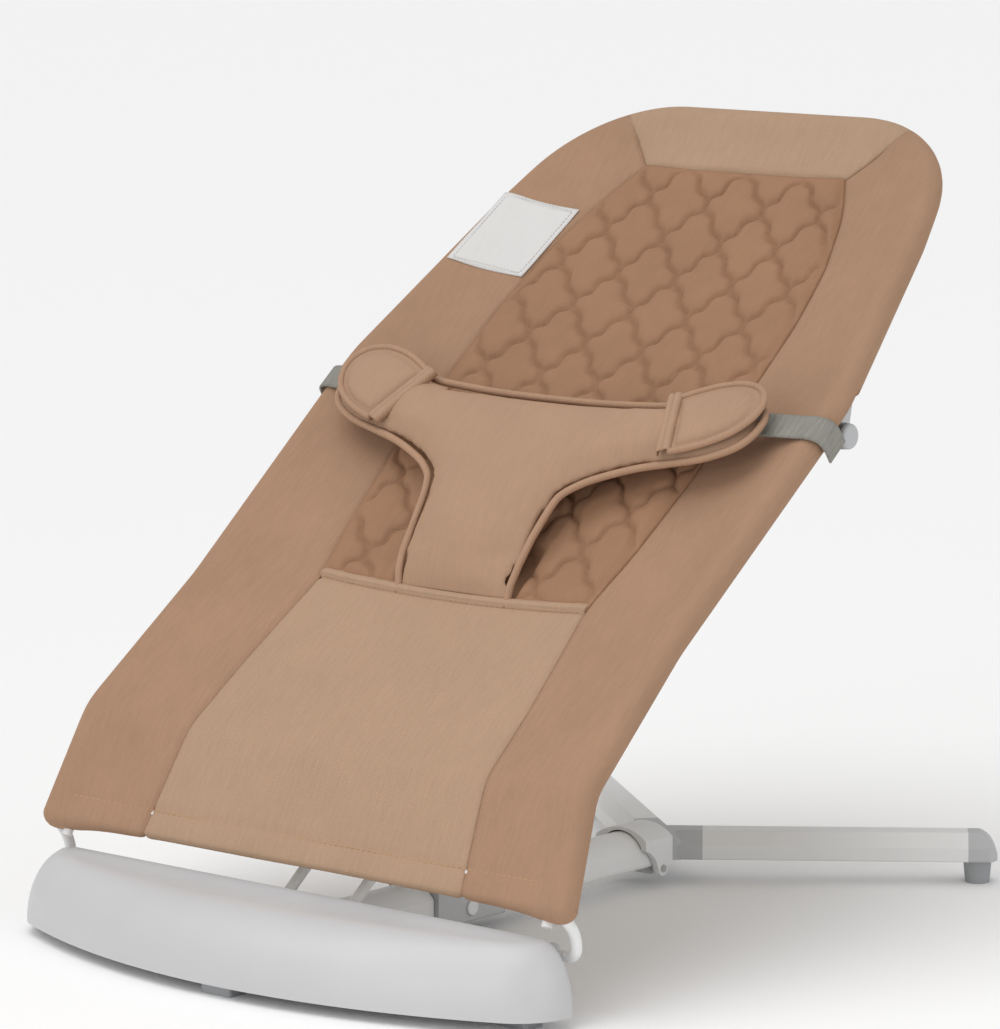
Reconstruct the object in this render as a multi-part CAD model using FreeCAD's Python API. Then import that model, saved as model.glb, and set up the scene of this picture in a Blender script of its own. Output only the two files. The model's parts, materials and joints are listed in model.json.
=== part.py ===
import FreeCAD, Part
import math
import os

# Folding bouncer seat. Millimetres. +Z up, +Y from the foot end to the head end, +X to one side.
# The origin is on the floor, in the middle of the object's length and width.

V = FreeCAD.Vector

# ---- driving dimensions ----------------------------------------------------------------------
SEAT_SLOPE = 38.8            # recline of the seat plane, degrees
SEAT_ANCHOR = (-131.5, 187.0)  # y, z of the seat plane where s = 0
WAIST_S = 264.6              # distance up the seat plane of the waist hinge
WAIST_DROP = -18.0           # hinge axis, measured square to the seat plane
HEAD_S = 532.0               # axis of the head bow
HEAD_V = 151.0               # half-width where the bow's sides would meet its crown
HEAD_BEND_R = 95.0
TUBE_R = 8.0
TUBE_WALL = 1.2
POCKET_R = 9.8               # outside of the fabric pocket that holds a tube
WAIST_V = 208.0              # half-width of the frame at the waist
KNEE_V = 212.0
THIGH = (55.0, 203.0)        # s and half-width where the lower side tubes are closest together
SHOULDER = (425.0, 179.5)    # s and half-width where the back tubes bend inwards
SIDE_BEND_R = 300.0
WIRE_R = 3.75

BASE_FRONT_Y = -302.0
BASE_REAR_Y = -211.0
BASE_TIP = (206.0, -256.5)   # x, y where the front arc meets the end rounding
BASE_HALF = 231.0
BASE_BOTTOM_Z = 8.0
BASE_TOP_Z = 54.0
BASE_ROLL = 46.0             # how far the front wall leans in from bottom to top
BASE_REAR_LEAN = 3.0
WALL = 3.0
FOOT_H = 8.0

PIVOT = (-200.4, 41.1)       # y, z of the cross wire, the axis the seat reclines about
CROSS_HALF = 222.0           # half-width of the wire frame at its elbows
ARM_X = 28.5
ARM_SLOPE = 39.0
ARM_LEN = 60.0
ARM_BEND = 9.0
BRACKET_PIN = (75.0, 2.0)    # along and square to the arms, from the pivot
LINK_PIN = (-84.0, 49.0)     # y, z of the lower link pivot, on the sleeve
PIN_R = 2.5
LINK_EYE_R = 5.0
SLOT_EYE_R = 7.2
SLOT_RUN = 6.5               # travel of the bracket pin in the link's slot
SLOT_R = 5.2

BEAM_BOTTOM = 14.2
BEAM_TOP = 39.8
BEAM_HALF = 17.0
BEAM_WALL = 1.8
BEAM_START = -204.0
BEAM_END = 128.0
CHANNEL_END = -104.0
SLEEVE = (-103.0, -35.0)     # y of the sleeve's two ends
SLEEVE_HALF = 22.0
SLEEVE_BOTTOM = 11.0
SLEEVE_TOP = 43.6
SLIDE_GAP = 0.3
BUTTON = (-69.8, 21.2)       # y, z of the release buttons
BUTTON_R = 5.2
BUTTON_IN = 20.0
BUTTON_OUT = 24.0

LEG_PIVOT = (133.0, 13.8)    # y, z of the pin that the rear legs fold about
HUB_Y = 154.0
LEG_SPLAY = 52.1             # degrees from +Y
LEG_BOTTOM = 16.4
LEG_TOP = 36.4
LEG_HALF = 15.0
HUB_REACH = 32.0
LEG_TUBE_END = 217.0
LEG_TIP = 238.0
COLLAR_FRONT = 114.0
COLLAR_REAR = 141.5
COLLAR_HALF = 22.6
COLLAR_TOP = 43.2

PAD = 5.0                    # thickness of the seat fabric and of the quilted pad
STRAP_S = 228.0              # lower edge of the side straps
STRAP_W = 20.0
STRAP_T = 1.6
LABEL_T = 0.6

os.makedirs("parts", exist_ok=True)
COS = math.cos(math.radians(SEAT_SLOPE))
SIN = math.sin(math.radians(SEAT_SLOPE))
X_DIR = V(1, 0, 0)
SIDES = {"left": -1, "right": 1}


# ---- helpers ---------------------------------------------------------------------------------
def seat(s, v, h):
    """Point s up the seat plane, v to the side and h above it."""
    y = SEAT_ANCHOR[0] + s * COS - h * SIN
    z = SEAT_ANCHOR[1] + s * SIN + h * COS
    return V(v, y, z)


def keep(name, *shapes):
    """Write one node, as one solid or as a group of separate solids."""
    shape = shapes[0] if len(shapes) == 1 else Part.makeCompound(list(shapes))
    if not shape.isValid():
        print("invalid", name)
    shape.exportStep("parts/" + name + ".step")
    print(name, round(shape.Volume), len(shape.Solids))


def mirrored(shape):
    return shape.mirror(V(0, 0, 0), X_DIR)


def flipped(point):
    return V(-point.x, point.y, point.z)


def on_side(shape, side):
    return shape if SIDES[side] > 0 else mirrored(shape)


def face_of(edges):
    return Part.Face(Part.Wire(edges))


def polygon(points):
    return Part.Face(Part.makePolygon(points + points[:1]))


def arc(a, b, c):
    return Part.Arc(a, b, c).toShape()


def line(a, b):
    return Part.LineSegment(a, b).toShape()


def rod(start, end, radius):
    axis = end - start
    return Part.makeCylinder(radius, axis.Length, start, axis)


def largest(shape):
    return max(shape.Solids, key=lambda solid: solid.Volume)


def x_rod(y, z, radius, x0, x1):
    return rod(V(x0, y, z), V(x1, y, z), radius)


def box(x0, x1, y0, y1, z0, z1):
    return Part.makeBox(x1 - x0, y1 - y0, z1 - z0, V(x0, y0, z0))


def rounded_path(points, radii):
    """Wire through points, with each inner corner rounded to its radius."""
    edges = []
    start = points[0]
    for before, corner, after, radius in zip(points, points[1:], points[2:], radii):
        back = (before - corner).normalize()
        ahead = (after - corner).normalize()
        half = back.getAngle(ahead) / 2
        reach = radius / math.tan(half)
        first = corner + back * reach
        last = corner + ahead * reach
        inward = (back + ahead).normalize()
        middle = corner + inward * (radius / math.sin(half) - radius)
        edges.append(line(start, first))
        edges.append(arc(first, middle, last))
        start = last
    edges.append(line(start, points[-1]))
    return Part.Wire(edges)


def swept(points, radii, radius):
    """Round bar along a rounded path."""
    path = rounded_path(points, radii)
    ring = Part.Wire(Part.makeCircle(radius, points[0], points[1] - points[0]))
    return path.makePipeShell([ring], True, False)


def tube(points, radii, radius=TUBE_R, wall=TUBE_WALL):
    return swept(points, radii, radius).cut(swept(points, radii, radius - wall))


# ---- half-moon front base --------------------------------------------------------------------
def base_outline(z, lean, shrink):
    """Plan outline of the base: front arc, two end arcs, two rear corners and a straight rear."""
    front = V(0, BASE_FRONT_Y + lean + shrink, z)
    rear_y = BASE_REAR_Y - shrink - BASE_REAR_LEAN * lean / BASE_ROLL
    tip = V(BASE_TIP[0] - 0.5 * lean - 0.5 * shrink, BASE_TIP[1] + 0.42 * lean + 0.9 * shrink, z)
    side = V(BASE_HALF - shrink - 0.5 * lean, rear_y - 6, z)
    corner = V(side.x - 1.8, rear_y - 1.8, z)
    rear = V(side.x - 6, rear_y, z)
    rise = tip.y - front.y
    radius = (tip.x ** 2 + rise ** 2) / (2 * rise)
    inward = (V(0, front.y + radius, z) - tip).normalize()
    chord = side - tip
    end_radius = chord.Length ** 2 / (2 * chord.dot(inward))
    centre = tip + inward * end_radius
    bulge = centre + ((tip + side) * 0.5 - centre).normalize() * end_radius
    return Part.Wire([
        arc(flipped(tip), front, tip),
        arc(tip, bulge, side),
        arc(side, corner, rear),
        line(rear, flipped(rear)),
        arc(flipped(rear), flipped(corner), flipped(side)),
        arc(flipped(side), flipped(bulge), flipped(tip)),
    ])


def base_block(shrink):
    """Solid half-moon whose wall starts upright and rolls over to the flat top."""
    rings = []
    steps = 6
    for step in range(steps + 1):
        turn = math.pi / 2 * step / steps
        z = BASE_BOTTOM_Z + (BASE_TOP_Z - BASE_BOTTOM_Z - shrink) * math.sin(turn)
        lean = BASE_ROLL * (1 - math.cos(turn))
        rings.append(base_outline(z, lean, shrink))
    return Part.makeLoft(rings, True, False)


def build_base():
    outer = base_block(0)
    inner = base_block(WALL)
    shell = outer.cut(inner)
    low = base_outline(BASE_BOTTOM_Z, 0, WALL + 0.2)
    plate = Part.Face(low).extrude(V(0, 0, WALL))
    screw_spots = [(0, -250), (90, -245), (-90, -245), (180, -232), (-180, -232)]
    screws = []
    for x, y in screw_spots:
        head = Part.makeCylinder(3.5, 2, V(x, y, BASE_BOTTOM_Z - 1))
        shank = Part.makeCylinder(1.8, 11, V(x, y, BASE_BOTTOM_Z))
        screws.append(head.fuse(shank))
    for screw in screws:
        plate = plate.cut(screw)
    keep("base_shell", shell)
    keep("base_bottom_plate", plate)
    keep("base_screws", *screws)
    feet = {"centre": (0, -286), "left": (-198, -228), "right": (198, -228)}
    for name, (x, y) in feet.items():
        foot = box(x - 13, x + 13, y - 9, y + 9, 0, FOOT_H)
        foot = foot.makeFillet(3, [e for e in foot.Edges if abs(e.Vertexes[0].Z - e.Vertexes[1].Z) > 1])
        keep("front_foot_" + name, foot)
    clips = []
    for x in (-196, -60, 60, 196):
        clip = box(x - 7, x + 7, BASE_REAR_Y, PIVOT[0], PIVOT[1] - 7, PIVOT[1] + 7)
        clip = clip.fuse(x_rod(PIVOT[0], PIVOT[1], 7, x - 7, x + 7))
        clips.append(clip.cut(x_rod(PIVOT[0], PIVOT[1], WIRE_R + 0.07, x - 8, x + 8)))
    keep("wire_clips", *clips)


# ---- beam ------------------------------------------------------------------------------------
def beam_section(y, half, bottom, top, dome=10.0, corner=4.0):
    """Upright beam section with a flat bottom, rounded lower corners and a domed top."""
    shoulder = top - dome
    dip = corner * (1 - math.sqrt(0.5))
    return face_of([
        line(V(-half + corner, y, bottom), V(half - corner, y, bottom)),
        arc(V(half - corner, y, bottom), V(half - dip, y, bottom + dip), V(half, y, bottom + corner)),
        line(V(half, y, bottom + corner), V(half, y, shoulder)),
        arc(V(half, y, shoulder), V(0, y, top), V(-half, y, shoulder)),
        line(V(-half, y, shoulder), V(-half, y, bottom + corner)),
        arc(V(-half, y, bottom + corner), V(-half + dip, y, bottom + dip), V(-half + corner, y, bottom)),
    ])


def beam_bar(y0, y1, grow):
    """Bar with the beam's section, grown or shrunk all round."""
    corner = max(4.0 + grow, 1.0)
    section = beam_section(y0, BEAM_HALF + grow, BEAM_BOTTOM - grow, BEAM_TOP + grow, corner=corner)
    return section.extrude(V(0, y1 - y0, 0))


def build_beam():
    groove = box(-3.2, 3.2, -62, 9, BEAM_BOTTOM - 1, BEAM_BOTTOM + BEAM_WALL + 1)
    tube_bar = beam_bar(BEAM_START, BEAM_END, 0).cut(beam_bar(BEAM_START - 1, BEAM_END + 1, -BEAM_WALL))
    keep("beam_tube", tube_bar.cut(groove))
    channel = beam_bar(BASE_REAR_Y, CHANNEL_END, 1.5)
    channel = channel.cut(beam_bar(BEAM_START, CHANNEL_END + 1, 0.02))
    keep("beam_front_channel", channel)
    plug = beam_bar(BEAM_END - 16, BEAM_END, -BEAM_WALL - 0.02)
    nose = x_rod(LEG_PIVOT[0], LEG_PIVOT[1], 25.0, -BEAM_HALF, BEAM_HALF)
    nose = nose.common(beam_bar(BEAM_END, BEAM_END + 10, 0))
    lug = x_rod(LEG_PIVOT[0], LEG_PIVOT[1], 5.5, -12, 12)
    lug = lug.common(box(-12, 12, BEAM_END, BEAM_END + 20, 0, 40))
    plug = plug.fuse(nose).fuse(lug).removeSplitter()
    plug = plug.cut(x_rod(LEG_PIVOT[0], LEG_PIVOT[1], PIN_R, -30, 30))
    keep("beam_end_plug", plug)
    keep("rear_pivot_pin", x_rod(LEG_PIVOT[0], LEG_PIVOT[1], PIN_R, -COLLAR_HALF - 1, COLLAR_HALF + 1))


# ---- sliding sleeve, buttons, latch and links ------------------------------------------------
def build_sleeve():
    y0, y1 = SLEEVE
    section = beam_section(y0, SLEEVE_HALF, SLEEVE_BOTTOM, SLEEVE_TOP, dome=6.0, corner=3.0)
    body = section.extrude(V(0, y1 - y0, 0))
    lugs = []
    for side in (-1, 1):
        x0, x1 = sorted((side * 13.2, side * 17.2))
        lug = box(x0, x1, LINK_PIN[0] - LINK_EYE_R, LINK_PIN[0] + LINK_EYE_R, SLEEVE_TOP - 8, LINK_PIN[1])
        lugs.append(lug.fuse(x_rod(LINK_PIN[0], LINK_PIN[1], LINK_EYE_R, x0, x1)))
    body = body.multiFuse(lugs).removeSplitter()
    body = body.cut(beam_bar(y0 - 1, y1 + 1, SLIDE_GAP))
    body = body.cut(x_rod(LINK_PIN[0], LINK_PIN[1], PIN_R, -30, 30))
    for side in (-1, 1):
        x0, x1 = sorted((side * (BEAM_HALF - 1), side * (SLEEVE_HALF + 1)))
        body = body.cut(x_rod(BUTTON[0], BUTTON[1], BUTTON_R + 0.3, x0, x1))
    slot = box(-6.4, 6.4, -56.5, y1 + 1, SLEEVE_BOTTOM - 1, BEAM_BOTTOM + 1)
    body = body.cut(slot)
    body = body.cut(x_rod(-52, 10.6, 1.5, -11, 11))
    keep("slide_sleeve", body)
    for name in SIDES:
        button = x_rod(BUTTON[0], BUTTON[1], BUTTON_R, BUTTON_IN, BUTTON_OUT)
        boxes = [(e, e.BoundBox) for e in button.Edges]
        rim = [e for e, b in boxes if abs(b.XMin - BUTTON_OUT) < 0.01 and b.XLength < 0.01]
        keep("release_button_" + name, on_side(button.makeFillet(1.2, rim), name))
    keep("sleeve_link_pin", x_rod(LINK_PIN[0], LINK_PIN[1], PIN_R, -18.2, 18.2))
    keep("latch_pin", x_rod(-52, 10.6, 1.5, -9.5, 9.5))
    lever = face_of([
        line(V(0, -56, 9.0), V(0, -56, 13.2)),
        line(V(0, -56, 13.2), V(0, -14, 13.2)),
        arc(V(0, -14, 13.2), V(0, -12, 12.0), V(0, -12.6, 10.6)),
        arc(V(0, -12.6, 10.6), V(0, -34, 7.2), V(0, -56, 9.0)),
    ]).extrude(V(12, 0, 0))
    lever.translate(V(-6, 0, 0))
    tooth = box(-2.6, 2.6, -30, -24, 13, 16.5)
    lever = lever.fuse(tooth).removeSplitter().cut(x_rod(-52, 10.6, 1.56, -11, 11))
    keep("latch_lever", lever)


def arm_point(along, up, x):
    """Point in the wire frame's own plane, which leaves the pivot at ARM_SLOPE."""
    c = math.cos(math.radians(ARM_SLOPE))
    s = math.sin(math.radians(ARM_SLOPE))
    return V(x, PIVOT[0] + along * c - up * s, PIVOT[1] + along * s + up * c)


def slotted_link(x0, x1):
    pin = arm_point(BRACKET_PIN[0], BRACKET_PIN[1], x0)
    foot = V(x0, *LINK_PIN)
    along = (pin - foot).normalize()
    across = V(0, -along.z, along.y)
    thick = V(x1 - x0, 0, 0)
    far = pin + along * 0.8
    near = pin - along * SLOT_RUN
    low_edge = across * LINK_EYE_R
    high_edge = across * SLOT_EYE_R
    bar = polygon([foot + low_edge, foot - low_edge, far - high_edge, far + high_edge]).extrude(thick)
    bar = bar.fuse(Part.makeCylinder(LINK_EYE_R, x1 - x0, foot, X_DIR))
    bar = bar.fuse(Part.makeCylinder(SLOT_EYE_R, x1 - x0, far, X_DIR))
    side = across * SLOT_R
    hole = polygon([near + side, near - side, far - side, far + side])
    bar = bar.cut(hole.extrude(thick))
    for point in (near, far):
        bar = bar.cut(Part.makeCylinder(SLOT_R, x1 - x0, point, X_DIR))
    return bar.cut(Part.makeCylinder(PIN_R + 0.06, x1 - x0, foot, X_DIR))


def build_links():
    for name in SIDES:
        keep("recline_link_" + name, on_side(slotted_link(8.6, 12.6), name))


# ---- spring wire frame -----------------------------------------------------------------------
def build_wire_frame():
    arm_end = arm_point(ARM_LEN, 0, ARM_X)
    for name in SIDES:
        straight = x_rod(PIVOT[0], PIVOT[1], WIRE_R, ARM_X + ARM_BEND, CROSS_HALF - 10)
        keep("crossbar_" + name, on_side(straight, name))
        corner = V(ARM_X, *PIVOT)
        arm = swept([V(ARM_X + ARM_BEND, *PIVOT), corner, arm_end], [ARM_BEND - 0.01], WIRE_R)
        keep("bracket_arm_" + name, on_side(arm, name))
    corners = [arm_point(a, u, -34) for a, u in ((46, -4.2), (66, -4.2), (66, 7.5), (46, 7.5))]
    bracket = polygon(corners).extrude(V(68, 0, 0))
    pin = arm_point(BRACKET_PIN[0], BRACKET_PIN[1], 0)
    for side in (-1, 1):
        x0, x1 = sorted((side * 13.2, side * 18.2))
        ear_corners = [arm_point(a, u, x0) for a, u in ((60, -4.0), (74, -4.0), (74, 8.0), (60, 7.5))]
        ear = polygon(ear_corners).extrude(V(x1 - x0, 0, 0))
        bracket = bracket.fuse(ear).fuse(x_rod(pin.y, pin.z, 6.0, x0, x1))
        for rib_x in (23, 31):
            trim = [arm_point(a, u, side * rib_x - 1) for a, u in ((50, 3.5), (62, 3.5), (62, 9), (50, 9))]
            bracket = bracket.cut(polygon(trim).extrude(V(2, 0, 0)))
        arm_x = side * ARM_X
        bracket = bracket.cut(rod(arm_point(44, 0, arm_x), arm_point(ARM_LEN, 0, arm_x), WIRE_R))
    notch = [arm_point(a, u, -13.2) for a, u in ((57, -20), (90, -20), (90, 20), (57, 20))]
    bracket = bracket.cut(polygon(notch).extrude(V(26.4, 0, 0)))
    hollow = [arm_point(a, u, -21) for a, u in ((40, -12), (70, -12), (70, -1.6), (40, -1.6))]
    bracket = bracket.cut(polygon(hollow).extrude(V(42, 0, 0)))
    bracket = bracket.removeSplitter().cut(x_rod(pin.y, pin.z, PIN_R, -30, 30))
    keep("arm_bracket", bracket)
    keep("bracket_pin", x_rod(pin.y, pin.z, PIN_R, -19.5, 19.5))


# ---- seat frame ------------------------------------------------------------------------------
HEM_TUBE = V(221, -212, 80)
HEM_ROD = (-206.0, 84.0)     # y, z
KNEE = V(KNEE_V, -183, 143)
SIDE_BEND = seat(*THIGH, 0)
SIDE_END = seat(256, WAIST_V, 0)
BACK_START = seat(273, WAIST_V, 0)
BACK_BEND = seat(*SHOULDER, 0)
HEAD_CORNER = seat(HEAD_S, HEAD_V, 0)
BACK_END = BACK_BEND + (HEAD_CORNER - BACK_BEND).normalize() * 26


def upright_wire(radius):
    into_tube = (KNEE - HEM_TUBE).normalize()
    path = [
        V(CROSS_HALF - 9.7, *PIVOT),
        V(CROSS_HALF, *PIVOT),
        V(CROSS_HALF + 1, -203.5, 58),
        HEM_TUBE - into_tube * 9,
        HEM_TUBE,
    ]
    return swept(path, [8.0, 25.0, 12.0], radius)


def build_uprights():
    wire = upright_wire(WIRE_R)
    for name in SIDES:
        keep("upright_" + name, on_side(wire, name))


def side_path():
    return [HEM_TUBE, KNEE, SIDE_BEND, SIDE_END], [60.0, SIDE_BEND_R]


def build_side_tubes():
    points, radii = side_path()
    for name in SIDES:
        keep("side_tube_" + name, on_side(tube(points, radii), name))
    bar, tip = hem_rod_shapes(3.5)
    keep("hem_rod", bar)
    keep("hem_rod_tips", tip, mirrored(tip))


def hem_rod_shapes(radius):
    """Straight rod behind the hem, and the +X one of its two turned-down ends."""
    y, z = HEM_ROD
    tip = swept([V(205, y, z), V(209, y, z), V(211, -217, 62)], [3.6], radius)
    return x_rod(y, z, radius, -205, 205), tip


def back_path():
    return [BACK_START, BACK_BEND, BACK_END], [SIDE_BEND_R]


def build_back_frame():
    points, radii = back_path()
    for name in SIDES:
        keep("back_tube_" + name, on_side(tube(points, radii), name))
    bow = [BACK_END, HEAD_CORNER, flipped(HEAD_CORNER), flipped(BACK_END)]
    keep("head_bow", tube(bow, [HEAD_BEND_R, HEAD_BEND_R]))


def hinge_plate(ds, x0, x1):
    """Plate from a tube's end down to the hinge axis; ds says on which side of the axis the tube is."""
    eye = seat(WAIST_S, x0, WAIST_DROP)
    root = 28 * ds
    tip = 8 * ds
    corners = [
        seat(WAIST_S + root, x0, -6),
        seat(WAIST_S + root, x0, 5),
        seat(WAIST_S + tip, x0, 5),
        seat(WAIST_S + 6 * ds, x0, WAIST_DROP + 6.0),
        seat(WAIST_S - 1 * ds, x0, WAIST_DROP - 8.8),
        seat(WAIST_S + 6 * ds, x0, WAIST_DROP - 6.0),
    ]
    plate = polygon(corners).extrude(V(x1 - x0, 0, 0))
    return plate.fuse(Part.makeCylinder(8.9, x1 - x0, eye, X_DIR)).removeSplitter()


def build_waist_hinge():
    axis = seat(WAIST_S, 0, WAIST_DROP)
    lower_tube = swept(*side_path(), TUBE_R)
    upper_tube = swept(*back_path(), TUBE_R)
    lower = hinge_plate(-1, 208.2, 212.2).cut(lower_tube)
    upper = hinge_plate(1, 203.6, 207.6).cut(upper_tube)
    lower = lower.cut(x_rod(axis.y, axis.z, 4.0, 190, 220))
    upper = upper.cut(x_rod(axis.y, axis.z, 4.06, 190, 220))
    cover = x_rod(axis.y, axis.z, 8.6, 213.2, 217.2)
    rim = [e for e in cover.Edges if abs(e.BoundBox.XMin - 217.2) < 0.01 and e.BoundBox.XLength < 0.01]
    cover = cover.makeFillet(2.5, rim)
    for name in SIDES:
        keep("waist_hinge_lower_" + name, on_side(lower, name))
        keep("waist_hinge_upper_" + name, on_side(upper, name))
        keep("hinge_cover_" + name, on_side(cover, name))
    shaft = x_rod(axis.y, axis.z, 4.0, -213.2, 213.2)
    spacer = x_rod(axis.y, axis.z, 6.0, -202.6, 202.6)
    keep("waist_shaft", shaft.fuse(spacer).removeSplitter())


# ---- soft parts ------------------------------------------------------------------------------
def band(origin, slope, half, sag, low, high):
    """Cross-section of a sagging sheet between the side tubes, low to high above its own middle line."""
    up = V(0, -math.sin(math.radians(slope)), math.cos(math.radians(slope)))
    base = V(0, origin[0], origin[1])

    def at(x, height):
        return V(x, base.y, base.z) + up * height

    return Part.Wire([
        arc(at(-half, low), at(0, low - sag), at(half, low)),
        line(at(half, low), at(half, high)),
        arc(at(half, high), at(0, high - sag), at(-half, high)),
        line(at(-half, high), at(-half, low)),
    ])


def plane_origin(s):
    point = seat(s, 0, 0)
    return (point.y, point.z)


def build_fabric():
    half = PAD / 2
    lower_rings = [
        band((-216, 74), 66, 221, 1, -half, half),
        band((-201, 108), 65, 217, 4, -half, half),
        band((-176, 148), 46, 211.2, 8, -half, half),
    ]
    for s, width, sag in ((-14, 208, 9.4), (20, 205.6, 10), (60, 203.4, 11), (100, 204.1, 12),
                          (150, 205.4, 12), (200, 206.6, 10.5), (248, 207.8, 9)):
        lower_rings.append(band(plane_origin(s), SEAT_SLOPE, width, sag, -half, half))
    sheet = Part.makeLoft(lower_rings, True, False)
    points, radii = side_path()
    below_hem = HEM_TUBE - (KNEE - HEM_TUBE).normalize() * 6
    pocket_top = SIDE_END + (SIDE_BEND - SIDE_END).normalize() * 22
    pocket = swept([below_hem, KNEE, SIDE_BEND, pocket_top], radii, POCKET_R)
    core = swept([below_hem] + points[1:], radii, TUBE_R + 0.02)
    hem_bar, hem_tips = hem_rod_shapes(3.55)
    cutters = [core, hem_tips, hinge_plate(-1, 207.9, 212.5), upright_wire(WIRE_R + 0.04)]
    lower = sheet.multiFuse([pocket, mirrored(pocket)])
    for cutter in cutters:
        lower = lower.cut([cutter, mirrored(cutter)])
    lower = largest(lower.cut(hem_bar))
    keep("seat_fabric_lower", lower)

    upper_rings = [
        band(plane_origin(282), SEAT_SLOPE, 206, 9, -half, half),
        band(plane_origin(380), SEAT_SLOPE, 188, 12, -half, half),
        band(plane_origin(465), SEAT_SLOPE, 168.8, 9, -half, half),
        band(plane_origin(HEAD_S), SEAT_SLOPE, HEAD_V + 2.6, 1, -half, half),
    ]
    sheet = Part.makeLoft(upper_rings, True, False)
    outline = rounded_path(
        [seat(270, 206, -40), seat(*SHOULDER, -40), seat(HEAD_S, HEAD_V, -40), seat(HEAD_S, 0, -40)],
        [SIDE_BEND_R, HEAD_BEND_R],
    )
    other = outline.mirror(V(0, 0, 0), X_DIR)
    closing = line(seat(270, -206, -40), seat(270, 206, -40))
    plan = Part.Face(Part.Wire(Part.sortEdges(outline.Edges + other.Edges + [closing])[0]))
    sheet = sheet.common(plan.extrude(seat(0, 0, 80) - seat(0, 0, 0)))
    pocket_start = BACK_START + (BACK_BEND - BACK_START).normalize() * 23
    bow = [BACK_BEND, HEAD_CORNER, flipped(HEAD_CORNER), flipped(BACK_BEND)]
    bends = [SIDE_BEND_R, HEAD_BEND_R, HEAD_BEND_R, SIDE_BEND_R]
    back = sheet.fuse(swept([pocket_start] + bow + [flipped(pocket_start)], bends, POCKET_R))
    back = back.cut(swept([BACK_START] + bow + [flipped(BACK_START)], bends, TUBE_R + 0.02))
    for name in SIDES:
        back = back.cut(on_side(hinge_plate(1, 203.3, 207.9), name))
    keep("seat_fabric_back", back)


def quilt_strip(stations, gap):
    """Padded panel lying on the sheet; stations hold s, half-width, depth in the middle and at the edges."""
    rings = []
    for s, half, depth, edge in stations:
        rings.append(band(plane_origin(s), SEAT_SLOPE, half, depth - edge, gap - edge, gap - edge + PAD))
    return Part.makeLoft(rings, True, False)


def label_section(s, outer, tube_v, inner):
    """Outline across the label, from the top of the side tube's pocket inwards over the sheet."""
    top = [(outer, 10.6), (tube_v - 5, 10.2), (tube_v - 17, 3.4), (inner, -1.8)]
    bottom = [(v, h - LABEL_T) for v, h in reversed(top)]
    return Part.makePolygon([seat(s, -v, h) for v, h in top + bottom + top[:1]])


def build_pads():
    gap = PAD / 2 + 3.4
    lower = [(92, 116, 11.3, 7.6), (160, 125, 11.5, 7.3), (248, 127, 9, 5.6)]
    back = [(282, 127, 9, 5.6), (380, 122, 12, 6.9), (476, 88, 8.4, 6.0)]
    keep("quilted_pad_lower", quilt_strip(lower, gap))
    keep("quilted_pad_back", quilt_strip(back, gap))
    sections = [label_section(367, 189, 190.4, 127), label_section(436, 180, 176.6, 117)]
    keep("sewn_label", Part.makeLoft(sections, True, True))


def build_restraint():
    low, high = 13.0, 27.0
    corners = [
        (-56, 150), (-104, 196), (-168, 212), (-180, 236), (-166, 256), (-112, 246),
        (0, 236),
        (112, 246), (166, 256), (180, 236), (168, 212), (104, 196), (56, 150),
    ]
    wings = Part.BSplineCurve()
    wings.interpolate([seat(s, v, low) for v, s in corners])
    foot = line(seat(150, 56, low), seat(150, -56, low))
    plan = Part.Face(Part.Wire([wings.toShape(), foot]))
    yoke = plan.extrude(seat(0, 0, high) - seat(0, 0, low))
    stem = Part.makeLoft([
        Part.makePolygon([seat(s, v, h) for v, h in ((-w, a), (w, a), (w, b), (-w, b), (-w, a))])
        for s, w, a, b in ((80, 47, -1.2, 7), (108, 47.5, 3, 15), (152, 55.5, low, high))
    ], True, True)
    keep("restraint_bolster", yoke.fuse(stem).removeSplitter())
    reach = POCKET_R + WAIST_V + 1.9
    for name in SIDES:
        flat = [(168, 12.4), (198, 10.6), (reach, 10.6), (reach, -12), (reach + STRAP_T, -12),
                (reach + STRAP_T, 12.2), (199, 12.2), (169, 12.9 + STRAP_T - 0.4)]
        strap = polygon([seat(STRAP_S, v, h) for v, h in flat]).extrude(seat(STRAP_W, 0, 0) - seat(0, 0, 0))
        keep("strap_" + name, on_side(strap, name))


# ---- rear legs -------------------------------------------------------------------------------
def leg_dir(side):
    a = math.radians(LEG_SPLAY)
    return V(side * math.sin(a), math.cos(a), 0)


def leg_bar(d0, d1, inset=0.0):
    """Length of leg with upright sides and a bevelled top, for the +X leg."""
    along = leg_dir(1)
    across = V(along.y, -along.x, 0)
    start = V(0, HUB_Y, 0) + along * d0
    half = LEG_HALF - inset
    low = LEG_BOTTOM + inset
    top = LEG_TOP - inset
    waist = LEG_BOTTOM + 10
    crown = 8.5 - inset * 0.5
    corners = [(-half, low), (half, low), (half, waist), (crown, top), (-crown, top), (-half, waist)]
    section = polygon([start + across * a + V(0, 0, z) for a, z in corners])
    return section.extrude(along * (d1 - d0))


def long_edges(bar, direction):
    found = []
    for edge in bar.Edges:
        a, b = edge.Vertexes[0].Point, edge.Vertexes[-1].Point
        if (b - a).Length > 5 and abs((b - a).normalize().dot(direction)) > 0.999:
            found.append(edge)
    return found


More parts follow.
